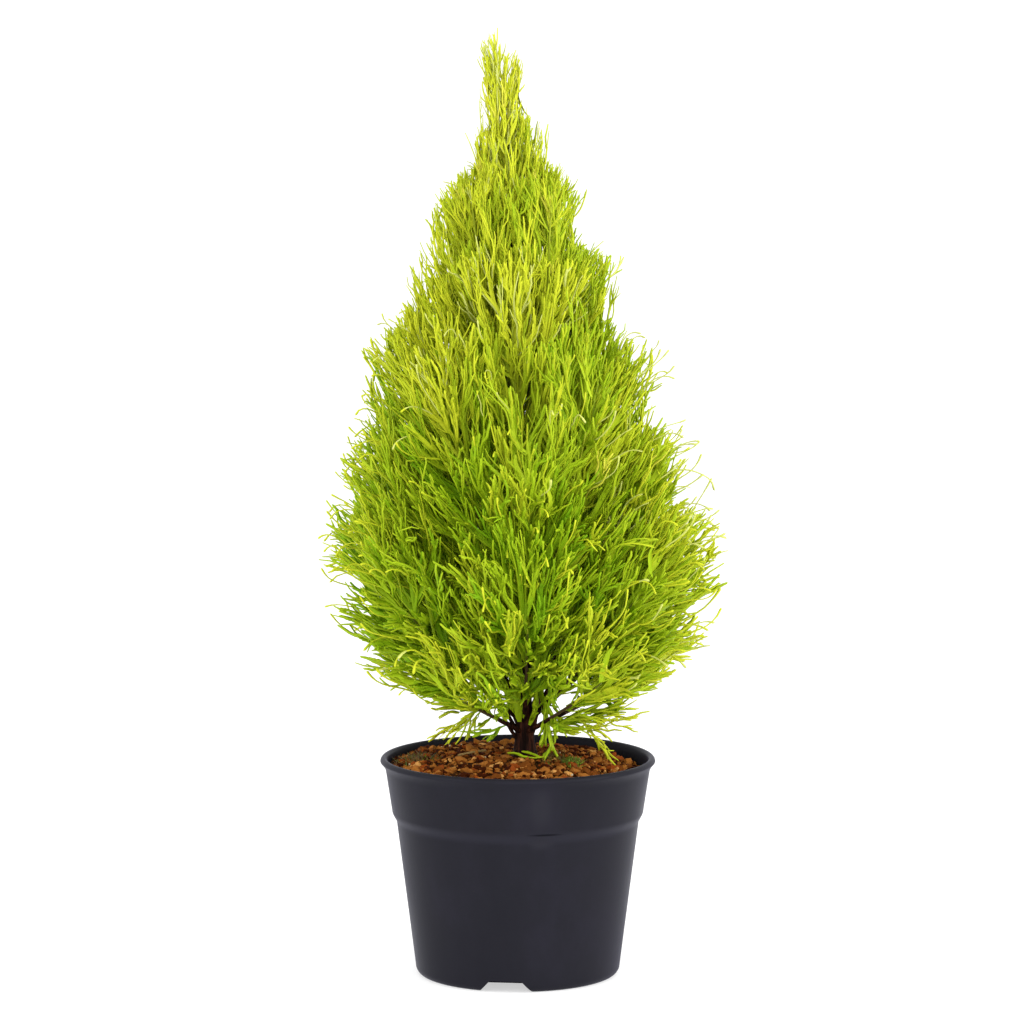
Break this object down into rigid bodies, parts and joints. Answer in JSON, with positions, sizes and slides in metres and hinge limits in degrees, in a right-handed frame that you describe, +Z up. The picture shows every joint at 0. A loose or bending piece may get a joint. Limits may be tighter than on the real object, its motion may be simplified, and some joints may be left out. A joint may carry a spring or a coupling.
{
  "type": "potted conifer",
  "caption": "Narrow cone-shaped yellow-green conifer, dense from just above the soil to its tip, standing in a round black nursery pot with a rolled rim.",
  "frame": {"origin": "centre of the pot's flat underside, on the surface that the pot stands on", "axes": "+Z up along the pot's axis, -Y towards the side seen in the picture, +X to that viewer's right"},
  "size_m": [0.2266, 0.225, 0.521],
  "materials": {
    "pot_plastic": "satin black moulded plastic",
    "potting_soil": "loose brown bark and peat",
    "brown_bark": "dark red-brown bark",
    "lemon_foliage": "soft yellow-green needles",
    "lime_foliage": "soft lime green needles"
  },
  "bodies": {
    "root": {"bough_low_0": "brown_bark", "bough_low_1": "brown_bark", "bough_low_2": "brown_bark", "bough_low_3": "brown_bark", "bough_low_4": "brown_bark", "bough_low_5": "brown_bark", "bough_low_6": "brown_bark", "bough_lower_0": "brown_bark", "bough_lower_1": "brown_bark", "bough_lower_2": "brown_bark", "bough_lower_3": "brown_bark", "bough_lower_4": "brown_bark", "bough_middle_0": "brown_bark", "bough_middle_1": "brown_bark", "bough_middle_2": "brown_bark", "bough_middle_3": "brown_bark", "bough_middle_4": "brown_bark", "bough_skirt_0": "brown_bark", "bough_skirt_1": "brown_bark", "bough_skirt_2": "brown_bark", "bough_skirt_3": "brown_bark", "bough_skirt_4": "brown_bark", "foliage_crest_0": "lemon_foliage", "foliage_crest_1": "lemon_foliage", "foliage_crest_2": "lemon_foliage", "foliage_high_0": "lemon_foliage", "foliage_high_1": "lemon_foliage", "foliage_high_2": "lemon_foliage", "foliage_high_3": "lemon_foliage", "foliage_leader_0": "lemon_foliage", "foliage_low_0": "lime_foliage", "foliage_low_1": "lime_foliage", "foliage_low_2": "lime_foliage", "foliage_low_3": "lime_foliage", "foliage_low_4": "lime_foliage", "foliage_low_5": "lime_foliage", "foliage_low_6": "lime_foliage", "foliage_lower_0": "lime_foliage", "foliage_lower_1": "lime_foliage", "foliage_lower_2": "lime_foliage", "foliage_lower_3": "lime_foliage", "foliage_lower_4": "lime_foliage", "foliage_middle_0": "lemon_foliage", "foliage_middle_1": "lemon_foliage", "foliage_middle_2": "lemon_foliage", "foliage_middle_3": "lemon_foliage", "foliage_middle_4": "lemon_foliage", "foliage_skirt_0": "lime_foliage", "foliage_skirt_1": "lime_foliage", "foliage_skirt_2": "lime_foliage", "foliage_skirt_3": "lime_foliage", "foliage_skirt_4": "lime_foliage", "foliage_upper_0": "lemon_foliage", "foliage_upper_1": "lemon_foliage", "foliage_upper_2": "lemon_foliage", "foliage_upper_3": "lemon_foliage", "pot": "pot_plastic", "soil": "potting_soil", "trunk": "brown_bark"}
  },
  "joints": []
}
